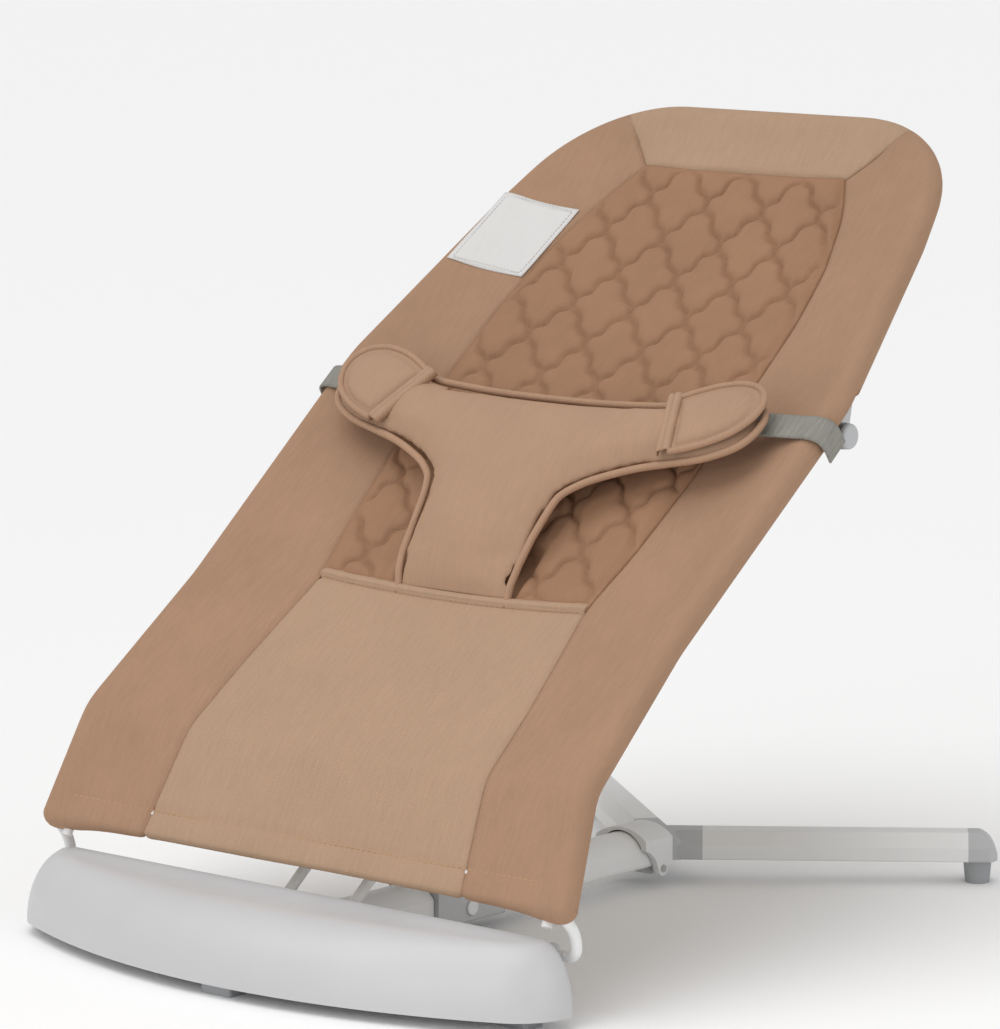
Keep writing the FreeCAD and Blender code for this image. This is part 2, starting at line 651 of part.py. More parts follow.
def build_rear_legs():
    along = leg_dir(1)
    hub_bar = leg_bar(-18, HUB_REACH)
    hub_bar = hub_bar.makeFillet(1.8, long_edges(hub_bar, along))
    hub = hub_bar.fuse(mirrored(hub_bar))
    saddle = box(-16, 16, 143.2, 160, LEG_BOTTOM, LEG_TOP)
    hub = hub.fuse(saddle)
    hub = hub.common(box(-200, 200, 143.2, 400, 0, 60)).removeSplitter()
    screws = [rod(V(x, COLLAR_REAR + 0.2, 27), V(x, 152, 27), 1.8) for x in (-8, 8)]
    keep("rear_hub", hub.cut(screws))

    outer = beam_section(COLLAR_FRONT, COLLAR_HALF, LEG_PIVOT[1], COLLAR_TOP, dome=8.0, corner=1.5)
    collar = outer.extrude(V(0, COLLAR_REAR + 1.7 - COLLAR_FRONT, 0))
    inner_half = BEAM_HALF + 1.0
    inner = beam_section(COLLAR_FRONT - 1, inner_half, 0, BEAM_TOP + 1.1, corner=1.5)
    room = inner.extrude(V(0, 8.0 + LEG_PIVOT[0] - COLLAR_FRONT, 0))
    collar = collar.cut(room)
    nose_cut = x_rod(COLLAR_FRONT - 6, LEG_PIVOT[1] - 4, 20.0, -40, 40)
    collar = collar.cut(nose_cut)
    for side in (-1, 1):
        x0, x1 = sorted((side * inner_half, side * COLLAR_HALF))
        collar = collar.fuse(x_rod(LEG_PIVOT[0], LEG_PIVOT[1], 5.2, x0, x1))
    collar = collar.removeSplitter().cut(x_rod(LEG_PIVOT[0], LEG_PIVOT[1], PIN_R + 0.06, -40, 40))
    keep("rear_collar", collar.cut(screws))
    keep("rear_collar_screws", *screws)

    shell = leg_bar(HUB_REACH, LEG_TUBE_END)
    shell = shell.makeFillet(1.8, long_edges(shell, along))
    shell = shell.cut(leg_bar(HUB_REACH - 1, LEG_TUBE_END + 1, 1.6))
    cap = leg_bar(LEG_TUBE_END, LEG_TIP + 4)
    cap = cap.makeFillet(1.8, long_edges(cap, along))
    tip_centre = V(0, HUB_Y, 0) + along * (LEG_TIP - 21)
    round_tip = Part.makeCylinder(21, 40, V(tip_centre.x, tip_centre.y, 0))
    dome_axis = V(along.y, -along.x, 0)
    dome_mid = V(0, HUB_Y, LEG_BOTTOM) + along * (LEG_TIP - 22)
    dome = Part.makeCylinder(22, 80, dome_mid - dome_axis * 40, dome_axis)
    cap = cap.common(round_tip).common(dome)
    foot_at = V(0, HUB_Y, 0) + along * 224
    foot = Part.makeCone(8.5, 10, LEG_BOTTOM, foot_at)
    for name in SIDES:
        keep("leg_tube_" + name, on_side(shell, name))
        keep("leg_end_cap_" + name, on_side(cap, name))
        keep("rear_foot_" + name, on_side(foot, name))


build_base()
build_beam()
build_sleeve()
build_links()
build_wire_frame()
build_uprights()
build_side_tubes()
build_back_frame()
build_waist_hinge()
build_fabric()
build_pads()
build_restraint()
build_rear_legs()
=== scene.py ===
import json
import math

import bpy
import numpy as np
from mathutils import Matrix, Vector, noise


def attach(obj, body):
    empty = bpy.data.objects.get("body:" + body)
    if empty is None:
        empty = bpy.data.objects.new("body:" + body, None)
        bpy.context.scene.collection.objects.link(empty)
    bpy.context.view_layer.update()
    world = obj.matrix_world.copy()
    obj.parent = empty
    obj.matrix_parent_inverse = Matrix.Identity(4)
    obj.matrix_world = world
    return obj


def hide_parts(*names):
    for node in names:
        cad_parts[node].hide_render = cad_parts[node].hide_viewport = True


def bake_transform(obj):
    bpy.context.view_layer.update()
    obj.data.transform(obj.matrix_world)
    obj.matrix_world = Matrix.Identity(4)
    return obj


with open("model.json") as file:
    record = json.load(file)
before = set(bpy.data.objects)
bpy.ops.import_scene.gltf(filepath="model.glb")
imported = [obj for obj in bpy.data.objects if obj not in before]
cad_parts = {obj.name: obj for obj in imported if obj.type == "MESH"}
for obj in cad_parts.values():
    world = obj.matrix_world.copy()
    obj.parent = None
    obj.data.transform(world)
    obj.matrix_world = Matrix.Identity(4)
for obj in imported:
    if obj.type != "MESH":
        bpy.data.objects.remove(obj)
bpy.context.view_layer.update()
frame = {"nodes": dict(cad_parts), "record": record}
record = frame["record"]
nodes = frame["nodes"]

# ---- the seat's own coordinates ------------------------------------------------------------------
# Millimetres: t runs up the fabric from the hem to the head, v across it and h out of it.
SLOPE = math.radians(38.8)
ANCHOR_Y = -131.5
ANCHOR_Z = 187.0
MM = 0.001
SHEET_TOP = 2.6         # the sheet's upper face over its middle surface
POCKET_R = 9.8          # outside of the sleeve that holds a frame tube
HEM_T = -143.5
HEM_STITCH_T = -129.0
HEM_ROD_H = -2.2        # centre line of the hem rod
CALF_TOP_T = 82.0
QUILT_TOP_T = 484.0
BOW_T = 532.0           # centre line of the head tube
BOW_R = 95.0
BOW_CENTRE_T = 437.0
BOW_CENTRE_V = 77.9
BOW_START = math.radians(14.9)
MEET = math.radians(63.0)   # where the head panel's side seam reaches the tube


def smoothed(stations, low, high, width):
    """One value per millimetre through the stations, with its corners rounded over a width."""
    t = np.arange(low - width, high + width + 1.0)
    where = [a for a, b in stations]
    value = [b for a, b in stations]
    line = np.interp(t, where, value)
    first = (value[1] - value[0]) / (where[1] - where[0])
    last = (value[-1] - value[-2]) / (where[-1] - where[-2])
    line = np.where(t < where[0], value[0] + first * (t - where[0]), line)
    line = np.where(t > where[-1], value[-1] + last * (t - where[-1]), line)
    window = np.hanning(width * 2 + 1)
    window /= window.sum()
    padded = np.pad(line, width, mode="reflect", reflect_type="odd")
    return t, np.convolve(padded, window, mode="valid")


def plane_y(t):
    return ANCHOR_Y + t * math.cos(SLOPE)


def plane_z(t):
    return ANCHOR_Z + t * math.sin(SLOPE)


LINE_T, LINE_Y = smoothed(
    [(-143.6, -214.8), (-67.7, -183.0), (256.0, plane_y(256.0)), (600.0, plane_y(600.0))], -200, 620, 17)
LINE_Z = smoothed(
    [(-143.6, 74.0), (-67.7, 143.0), (256.0, plane_z(256.0)), (600.0, plane_z(600.0))], -200, 620, 17)[1]
LEAN_Y = np.gradient(LINE_Y)
LEAN_Z = np.gradient(LINE_Z)
LEAN = np.hypot(LEAN_Y, LEAN_Z)
LEAN_Y /= LEAN
LEAN_Z /= LEAN
TUBE_T, TUBE_V = smoothed(
    [(-143.6, 221.8), (-137.0, 221.0), (-67.7, 212.0), (55.0, 203.0), (256.0, 208.0), (273.0, 208.0),
     (425.0, 179.5), (600.0, 132.9)], -200, 620, 14)
SEAM_T, SEAM_V = smoothed(
    [(-146.0, 140.0), (-72.0, 131.0), (-10.0, 127.0), (40.0, 121.0), (82.0, 115.5), (127.0, 123.0),
     (200.0, 129.0), (270.0, 128.5), (345.0, 127.0), (400.0, 120.0), (450.0, 105.0), (484.0, 88.0)],
    -200, 620, 20)
SAG_T, SAG = smoothed(
    [(-144.0, 1.0), (-106.0, 4.0), (-60.0, 8.0), (-14.0, 9.4), (60.0, 11.0), (150.0, 12.0), (264.0, 10.0),
     (380.0, 12.0), (465.0, 9.0), (532.0, 0.5)], -200, 620, 24)


def place(t, v, h):
    """World points in metres for seat coordinates in millimetres."""
    t, v, h = np.broadcast_arrays(np.asarray(t, float), np.asarray(v, float), np.asarray(h, float))
    y = np.interp(t, LINE_T, LINE_Y)
    z = np.interp(t, LINE_T, LINE_Z)
    lean_y = np.interp(t, LINE_T, LEAN_Y)
    lean_z = np.interp(t, LINE_T, LEAN_Z)
    return np.stack([v, y - h * lean_z, z + h * lean_y], -1) * MM


def tube_v(t):
    return np.interp(t, TUBE_T, TUBE_V)


def seam_v(t):
    return np.interp(t, SEAM_T, SEAM_V)


def inside_tube(t, v):
    """Distance in from the frame tube's centre line."""
    side = tube_v(t) - np.abs(v)
    up = t - BOW_CENTRE_T
    out = np.abs(v) - BOW_CENTRE_V
    angle = np.arctan2(up, np.maximum(out, 1e-6))
    round_corner = BOW_R - np.hypot(up, out)
    top = BOW_T - t
    corner = (up > 0) & (out > 0) & (angle > BOW_START)
    under_crown = (up > 0) & (out <= 0)
    straight = np.where(under_crown, np.minimum(top, side), side)
    return np.maximum(np.where(corner, round_corner, straight), 0)


def wave(t, v, size, seed):
    """Smooth noise from -1 to 1 over the fabric."""
    flat_t = np.ravel(t)
    flat_v = np.ravel(v)
    values = [noise.noise(Vector((a / size, b / size, seed))) for a, b in zip(flat_t, flat_v)]
    return np.reshape(values, np.shape(t))


def sheet_height(t, v):
    """Upper face of the stretched sheet: it sags in the middle and climbs over the frame tube."""
    sag = np.interp(t, SAG_T, SAG)
    share = np.clip(np.abs(v) / tube_v(t), 0, 1)
    climb = (POCKET_R - SHEET_TOP) / (1 + (inside_tube(t, v) / 21.0) ** 2)
    return SHEET_TOP - sag * (1 - share ** 2) + climb


# ---- mesh helpers --------------------------------------------------------------------------------
def mesh_object(name, points, faces, uvs=None, materials=(), face_material=None, smooth=True):
    """An object from points in metres; uvs is one pair per point, in metres."""
    used = sorted({i for face in faces for i in face})
    renumber = {old: new for new, old in enumerate(used)}
    mesh = bpy.data.meshes.new(name)
    mesh.from_pydata([tuple(points[i]) for i in used], [], [tuple(renumber[i] for i in f) for f in faces])
    for material in materials:
        mesh.materials.append(material)
    if face_material is not None:
        mesh.polygons.foreach_set("material_index", face_material)
    if uvs is not None:
        layer = mesh.uv_layers.new(name="weave")
        kept = [uvs[i] for i in used]
        flat = [x for loop in mesh.loops for x in kept[loop.vertex_index]]
        layer.data.foreach_set("uv", flat)
    mesh.polygons.foreach_set("use_smooth", [smooth] * len(mesh.polygons))
    mesh.update()
    made = bpy.data.objects.new(name, mesh)
    bpy.context.scene.collection.objects.link(made)
    return made


def grid_faces(rows, columns, flip=False, closed=False, keep=None, offset=0):
    faces = []
    for i in range(rows - 1):
        for j in range(columns - (0 if closed else 1)):
            if keep is not None and not keep[i, j]:
                continue
            k = (j + 1) % columns
            face = (i * columns + j, i * columns + k, (i + 1) * columns + k, (i + 1) * columns + j)
            face = tuple(offset + x for x in face)
            faces.append(face[::-1] if flip else face)
    return faces


def tube_mesh(path, radius, sides, up):
    """Points and faces of a round tube with capped ends along a path of world points."""
    path = np.asarray(path, float)
    count = len(path)
    ahead = np.gradient(path, axis=0)
    ahead /= np.linalg.norm(ahead, axis=1)[:, None]
    across = np.cross(ahead, np.asarray(up, float))
    across /= np.linalg.norm(across, axis=1)[:, None]
    above = np.cross(across, ahead)
    angle = np.linspace(0, 2 * math.pi, sides, endpoint=False)
    rings = (path[:, None] + radius * np.cos(angle)[None, :, None] * across[:, None]
             + radius * np.sin(angle)[None, :, None] * above[:, None])
    faces = grid_faces(count, sides, closed=True)
    faces.append(tuple(range(sides))[::-1])
    faces.append(tuple((count - 1) * sides + j for j in range(sides)))
    return rings.reshape(-1, 3), faces


def merged(parts):
    points = []
    faces = []
    for p, f in parts:
        start = sum(len(x) for x in points)
        points.append(np.asarray(p))
        faces += [tuple(start + i for i in face) for face in f]
    return np.concatenate(points), faces


def along(path, spacing):
    """Points at an even spacing along a path."""
    path = np.asarray(path, float)
    step = np.linalg.norm(np.diff(path, axis=0), axis=1)
    total = np.concatenate([[0], np.cumsum(step)])
    count = max(2, int(total[-1] / spacing))
    where = np.linspace(0, total[-1], count + 1)
    return np.stack([np.interp(where, total, path[:, k]) for k in range(path.shape[1])], -1)


THREAD_UP = (0, -0.63, 0.78)    # about square to the fabric
THREAD_SIDES = 5
THREAD_SHOULDER = 0.6           # where a stitch begins to narrow, as a share of its half length
THREAD_TIP = 0.45               # its radius at the ends, as a share of the full radius


def stitches(name, paths, material, length, gap, radius):
    """Rows of short raised threads along paths of world points in metres."""
    parts = []
    for path in paths:
        stops = along(path, (length + gap) * MM)
        for a, b in zip(stops[:-1], stops[1:]):
            reach = (b - a) * (length / (length + gap)) / 2
            middle = (a + b) / 2
            shoulder = reach * THREAD_SHOULDER
            stations = [middle - reach, middle - shoulder, middle + shoulder, middle + reach]
            points, faces = tube_mesh(stations, radius * MM, THREAD_SIDES, THREAD_UP)
            for tip in (points[:THREAD_SIDES], points[-THREAD_SIDES:]):
                centre = tip.mean(0)
                tip[:] = centre + (tip - centre) * THREAD_TIP
            parts.append((points, faces))
    points, faces = merged(parts)
    return mesh_object(name, points, faces, points[:, :2], [material])


def solidify(piece, thickness, back_slot=0):
    modifier = piece.modifiers.new("thickness", "SOLIDIFY")
    modifier.thickness = thickness * MM
    modifier.offset = -1
    modifier.use_even_offset = False
    modifier.material_offset = back_slot
    modifier.material_offset_rim = 0


# ---- materials -----------------------------------------------------------------------------------
def material_of(name):
    material = bpy.data.materials.new(name)
    material.use_nodes = True
    tree = material.node_tree
    return material, tree, tree.nodes["Principled BSDF"]


def add(tree, kind, inputs=None, **settings):
    node = tree.nodes.new(kind)
    for key, value in settings.items():
        setattr(node, key, value)
    for key, value in (inputs or {}).items():
        node.inputs[key].default_value = value
    return node


def mixed(tree, factor, low, high, start=0.0, end=1.0):
    """A colour between two, as a factor socket goes from start to end."""
    ramp = add(tree, "ShaderNodeValToRGB")
    for index, (colour, position) in enumerate(((low, start), (high, end))):
        ramp.color_ramp.elements[index].color = (*colour, 1)
        ramp.color_ramp.elements[index].position = position
    tree.links.new(factor, ramp.inputs["Fac"])
    return ramp


def srgb(*rgb):
    return tuple((c / 255 / 12.92) if c / 255 <= 0.04045 else ((c / 255 + 0.055) / 1.055) ** 2.4 for c in rgb)


def shaded(colour, by):
    return tuple(max(0.0, min(1.0, c * by)) for c in colour)


CLOTH_ROUGH = 0.82
THREAD_SCALE = 314.0    # the wave texture's scale for a thread of one millimetre
GRAIN_SCALE = 1500.0


def fabric(name, colour, thread, relief, mottle, streak, rib=1.0, sheen=0.25):
    """Woven or knitted cloth: threads both ways, mottled dye and long fine streaks."""
    material, tree, surface = material_of(name)
    link = tree.links.new
    coords = add(tree, "ShaderNodeUVMap", uv_map="weave")
    warp = add(tree, "ShaderNodeTexWave", {"Scale": THREAD_SCALE / thread, "Distortion": 0.6,
                                           "Detail": 1.0, "Detail Scale": 1.5}, bands_direction="X")
    weft = add(tree, "ShaderNodeTexWave", {"Scale": THREAD_SCALE / thread / rib, "Distortion": 0.6,
                                           "Detail": 1.0, "Detail Scale": 1.5}, bands_direction="Y")
    cloud = add(tree, "ShaderNodeTexNoise", {"Scale": 14.0, "Detail": 5.0, "Roughness": 0.6})
    stretch = add(tree, "ShaderNodeMapping", {"Scale": (420.0, 45.0, 1.0)})
    lines = add(tree, "ShaderNodeTexNoise", {"Scale": 1.0, "Detail": 3.0, "Roughness": 0.65})
    fuzz = add(tree, "ShaderNodeTexNoise", {"Scale": 900.0, "Detail": 2.0})
    for texture in (warp, weft, cloud, fuzz):
        link(coords.outputs["UV"], texture.inputs["Vector"])
    link(coords.outputs["UV"], stretch.inputs["Vector"])
    link(stretch.outputs["Vector"], lines.inputs["Vector"])
    weave = add(tree, "ShaderNodeMath", operation="MULTIPLY")
    link(warp.outputs["Fac"], weave.inputs[0])
    link(weft.outputs["Fac"], weave.inputs[1])
    dye = mixed(tree, cloud.outputs["Fac"], shaded(colour, 1 - mottle), shaded(colour, 1 + mottle), 0.3, 0.7)
    fibre = mixed(tree, lines.outputs["Fac"], (1 - streak,) * 3, (1 + streak,) * 3, 0.3, 0.7)
    thread_shade = mixed(tree, weave.outputs[0], (0.90,) * 3, (1.04,) * 3)
    first = add(tree, "ShaderNodeMixRGB", {"Fac": 1.0}, blend_type="MULTIPLY")
    link(dye.outputs["Color"], first.inputs["Color1"])
    link(fibre.outputs["Color"], first.inputs["Color2"])
    second = add(tree, "ShaderNodeMixRGB", {"Fac": 1.0}, blend_type="MULTIPLY")
    link(first.outputs["Color"], second.inputs["Color1"])
    link(thread_shade.outputs["Color"], second.inputs["Color2"])
    link(second.outputs["Color"], surface.inputs["Base Color"])
    dull = add(tree, "ShaderNodeMapRange", {"To Min": CLOTH_ROUGH - 0.08, "To Max": CLOTH_ROUGH + 0.08})
    link(lines.outputs["Fac"], dull.inputs["Value"])
    link(dull.outputs["Result"], surface.inputs["Roughness"])
    raised = add(tree, "ShaderNodeMath", operation="MULTIPLY_ADD")
    raised.inputs[1].default_value = 0.35
    link(fuzz.outputs["Fac"], raised.inputs[0])
    link(weave.outputs[0], raised.inputs[2])
    bump = add(tree, "ShaderNodeBump", {"Strength": relief, "Distance": 0.0004})
    link(raised.outputs[0], bump.inputs["Height"])
    link(bump.outputs["Normal"], surface.inputs["Normal"])
    surface.inputs["Sheen Weight"].default_value = sheen
    surface.inputs["Sheen Roughness"].default_value = 0.45
    surface.inputs["Sheen Tint"].default_value = (*shaded(colour, 1.25), 1)
    surface.inputs["Specular IOR Level"].default_value = 0.25
    return material


def moulded(name, colour, rough, grain, wear=0.04, coat=0.0, metallic=0.0):
    """Moulded plastic, rubber or painted metal: fine grain, faint colour drift and rubbed patches."""
    material, tree, surface = material_of(name)
    link = tree.links.new
    coords = add(tree, "ShaderNodeTexCoord")
    fine = add(tree, "ShaderNodeTexNoise", {"Scale": GRAIN_SCALE, "Detail": 2.0, "Roughness": 0.5})
    drift = add(tree, "ShaderNodeTexNoise", {"Scale": 9.0, "Detail": 4.0, "Roughness": 0.55})
    rubbed = add(tree, "ShaderNodeTexNoise", {"Scale": 60.0, "Detail": 6.0, "Roughness": 0.7})
    for texture in (fine, drift, rubbed):
        link(coords.outputs["Object"], texture.inputs["Vector"])
    tone = mixed(tree, drift.outputs["Fac"], shaded(colour, 1 - wear), shaded(colour, 1 + wear * 0.6),
                 0.25, 0.75)
    link(tone.outputs["Color"], surface.inputs["Base Color"])
    dull = add(tree, "ShaderNodeMapRange", {"From Min": 0.3, "From Max": 0.7,
                                            "To Min": rough - 0.07, "To Max": rough + 0.09})
    link(rubbed.outputs["Fac"], dull.inputs["Value"])
    link(dull.outputs["Result"], surface.inputs["Roughness"])
    bump = add(tree, "ShaderNodeBump", {"Strength": grain, "Distance": 0.0002})
    link(fine.outputs["Fac"], bump.inputs["Height"])
    link(bump.outputs["Normal"], surface.inputs["Normal"])
    surface.inputs["Metallic"].default_value = metallic
    surface.inputs["Coat Weight"].default_value = coat
    surface.inputs["Coat Roughness"].default_value = 0.25
    return material


TAN = srgb(169, 134, 108)
PANEL_TAN = srgb(178, 148, 122)
QUILT_TAN = srgb(160, 122, 94)
REST_TAN = srgb(177, 144, 118)
PIPING_TAN = srgb(178, 143, 117)
LINING = srgb(188, 178, 164)
THREAD = srgb(196, 158, 122)
side_cloth = fabric("side_cloth", TAN, thread=1.1, relief=0.22, mottle=0.05, streak=0.05)
panel_cloth = fabric("panel_cloth", PANEL_TAN, thread=1.4, relief=0.28, mottle=0.04, streak=0.05, sheen=0.25)
quilt_cloth = fabric("quilt_cloth", QUILT_TAN, thread=1.0, relief=0.18, mottle=0.06, streak=0.04, sheen=0.35)
rest_cloth = fabric("restraint_cloth", REST_TAN, thread=1.2, relief=0.22, mottle=0.04, streak=0.04, sheen=0.3)
piping_cloth = fabric("piping_cloth", PIPING_TAN, thread=0.9, relief=0.3, mottle=0.05, streak=0.05)
lining_cloth = fabric("lining_cloth", LINING, thread=1.8, relief=0.4, mottle=0.06, streak=0.08, sheen=0.1)
WEBBING_GREY = srgb(150, 148, 140)
webbing = fabric("webbing_cloth", WEBBING_GREY, thread=1.9, rib=0.6, relief=0.9, mottle=0.1, streak=0.16)
label_cloth = fabric("label_cloth", srgb(222, 220, 218), thread=0.7, relief=0.15, mottle=0.02, streak=0.02)
thread_cloth = fabric("thread_cloth", THREAD, thread=0.5, relief=0.4, mottle=0.03, streak=0.03)
white_thread = fabric("white_thread", srgb(205, 205, 205), thread=0.5, relief=0.4, mottle=0.03, streak=0.03)

PLASTICS = {
    "base_plastic": moulded("base_plastic_finish", srgb(196, 196, 197), rough=0.40, grain=0.10, coat=0.10),
    "white_plastic": moulded("white_plastic_finish", srgb(226, 226, 226), rough=0.36, grain=0.08, coat=0.1),
    "white_steel": moulded("white_steel_paint", srgb(232, 232, 231), rough=0.36, grain=0.06, coat=0.2),
    "hub_plastic": moulded("hub_plastic_finish", srgb(186, 187, 188), rough=0.45, grain=0.14),
    "black_plastic": moulded("black_plastic_finish", srgb(44, 44, 46), rough=0.42, grain=0.2, wear=0.2),
    "foot_rubber": moulded("foot_rubber_finish", srgb(160, 162, 164), rough=0.75, grain=0.35, wear=0.08),
    "steel_zinc": moulded("steel_zinc_finish", srgb(190, 190, 188), rough=0.28, grain=0.1, metallic=0.9),
}
for entry in record["subparts"]:
    finish = PLASTICS.get(entry["material_slot"])
    if finish is not None and entry["node"] in nodes:
        data = nodes[entry["node"]].data
        data.materials.clear()
        data.materials.append(finish)

# ---- stretched panels ----------------------------------------------------------------------------
ROW = 3.2
GROOVE_DEPTH = 2.0
GROOVE_WIDTH = 2.4
WRAP_ANGLES = np.radians(np.concatenate([np.arange(76, -105, -14), [-104.0]]))
WRAP_STEP = 2.4         # cloth from one ring of the wrap to the next
FLAP_INSETS = (6.0, 12.0, 18.0, 24.0)
FLAP_DROP = 4.6         # how far the sewn flap lies under the sheet's upper face
WAIST_CUT = (244, 291)  # where the wrap is open for the hinge covers
SHEET_THICK = 1.7


def groove(distance, t, v):
    """Depth of a seam's channel, which fades out where the seam comes up to the frame tube."""
    fade = np.clip((inside_tube(t, v) - 6) / 14, 0.0, 1)
    return GROOVE_DEPTH * np.exp(-(distance / GROOVE_WIDTH) ** 2) * fade


def evened(path, count):
    """A path of (t, v) points with even steps."""
    path = np.asarray(path, float)
    total = np.concatenate([[0], np.cumsum(np.linalg.norm(np.diff(path, axis=0), axis=1))])
    where = np.linspace(0, total[-1], count)
    return np.stack([np.interp(where, total, path[:, 0]), np.interp(where, total, path[:, 1])], -1)


def bow_point(angle):
    return (BOW_CENTRE_T + BOW_R * math.sin(angle), BOW_CENTRE_V + BOW_R * math.cos(angle))


def tube_normals(line):
    """Outward direction, in (t, v), at each point of the tube's centre line on the +v side."""
    ahead = np.gradient(line, axis=0)
    ahead /= np.linalg.norm(ahead, axis=1)[:, None]
    return np.stack([-ahead[:, 1], ahead[:, 0]], -1)


def wrap_columns(line, outward):
    """Rings of fabric points round the tube, from its top to the sewn flap underneath."""
    rings = []
    for angle in WRAP_ANGLES:
        out = POCKET_R * math.cos(angle)
        rings.append((line + outward * out, np.full(len(line), POCKET_R * math.sin(angle))))
    for inset in FLAP_INSETS:
        point = line - outward * inset
        under = sheet_height(point[:, 0], point[:, 1]) - FLAP_DROP
        share = min(1.0, inset / 16.0)
        below_tube = -math.sqrt(max(POCKET_R ** 2 - inset ** 2, 0.0))
        rings.append((point, np.minimum(-POCKET_R * (1 - share) + under * share, below_tube)))
    return rings


def hem_rows(t_row, v_row, h_row, middle):
    """Extra rows that turn the cloth round the hem rod and back up behind it."""
    rows = []
    radius = h_row - middle
    for degrees in range(20, 181, 20):
        a = math.radians(degrees)
        rows.append((t_row - radius * math.sin(a) * 0.9, v_row, middle + radius * math.cos(a)))
    for up in (5.0, 11.0, 17.0, 23.0):
        rows.append((t_row + up, v_row, middle - radius - 0.5))
    return rows


def with_hem(extra, grids):
    """The grids of t, v and h with the hem's extra rows before them, the furthest round the rod first."""
    return [np.concatenate([np.array([row[k] for row in extra])[::-1], grid]) for k, grid in enumerate(grids)]


def pucker(from_seam):
    """How strongly the cloth puckers beside a seam, by the distance from it."""
    return np.exp(-from_seam / 7.0) * (1 - np.exp(-from_seam / 2.0))


def side_panel(side):
    t_low = np.arange(HEM_T, 432.0, ROW)
    inner_low = np.stack([t_low, seam_v(t_low)], -1)
    outer_low = np.stack([t_low, tube_v(t_low)], -1)
    t_seam = np.arange(436.0, QUILT_TOP_T + 0.1, 4.0)
    meet = bow_point(MEET)
    inner_top = evened(list(zip(t_seam, seam_v(t_seam))) + [meet], 40)
    t_tube = np.arange(436.0, 460.0, 5.0)
    corner = [bow_point(a) for a in np.linspace(BOW_START, MEET, 24)]
    outer_top = evened(list(zip(t_tube, tube_v(t_tube))) + corner, 40)
    inner = np.concatenate([inner_low, inner_top])
    outer = np.concatenate([outer_low, outer_top])
    share = np.linspace(0, 1, 34) ** 1.35
    line = inner[:, None] + (outer - inner)[:, None] * share[None, :, None]
    t, v = line[..., 0], line[..., 1]
    width = np.linalg.norm(outer - inner, axis=1)
    from_seam = share[None, :] * width[:, None]
    h = sheet_height(t, v) - groove(from_seam, t, v)
    h += 0.5 * wave(t, v * 1.6, 70.0, 3.0 * side) * np.clip(from_seam / 12, 0, 1) * (1 - share[None, :] ** 4)
    h += 0.55 * pucker(from_seam) * wave(t * 2.3, v * 0.7, 11.0, 8.0 + side)
    h -= 0.9 * np.exp(-((t - HEM_STITCH_T) / 1.8) ** 2) * np.clip((inside_tube(t, v) - 4) / 12, 0, 1)
    rings = wrap_columns(outer, tube_normals(outer))
    t = np.concatenate([t] + [p[:, :1] for p, r in rings], 1)
    v = np.concatenate([v] + [p[:, 1:] for p, r in rings], 1)
    h = np.concatenate([h] + [r[:, None] for p, r in rings], 1)
    columns = t.shape[1]
    inner_columns = len(share)
    girth = np.concatenate([np.zeros((len(t), inner_columns)),
                            np.tile(np.arange(1, len(rings) + 1) * WRAP_STEP, (len(t), 1))], 1)
    middle = np.where(np.arange(columns) < inner_columns,
                      np.interp(v[0], [seam_v(HEM_T), 200.0, tube_v(HEM_T)], [HEM_ROD_H, HEM_ROD_H, 0.0]),
                      0.0)
    extra = hem_rows(t[0], v[0], np.maximum(h[0], middle), middle)
    t, v, h = with_hem(extra, (t, v, h))
    added = len(extra)
    girth = np.concatenate([np.tile(girth[0], (added, 1)), girth])
    keep = np.ones((len(t) - 1, columns - 1), bool)
    facing_columns = inner_columns + int((WRAP_ANGLES > 0).sum())
    keep[:added, facing_columns:] = False
    keep[:4, inner_columns - 1:] = False
    waist = (t[:-1, 0] > WAIST_CUT[0]) & (t[:-1, 0] < WAIST_CUT[1])
    keep[waist, inner_columns + 6:] = False
    points = place(t, side * v, h)
    uv = np.stack([side * (v + girth), t], -1) * MM
    name = "side_panel_right" if side > 0 else "side_panel_left"
    piece = mesh_object(name, points.reshape(-1, 3),
                        grid_faces(len(t), columns, flip=side < 0, keep=keep),
                        uv.reshape(-1, 2), [side_cloth, lining_cloth])
    solidify(piece, SHEET_THICK, 1)
    return piece


def panel_columns(count):
    """Fractions from -1 to 1, closer together at both ends."""
    x = np.linspace(-1, 1, count)
    return np.sign(x) * (1 - (1 - np.abs(x)) ** 1.25)


LIP_T = CALF_TOP_T + 4.5


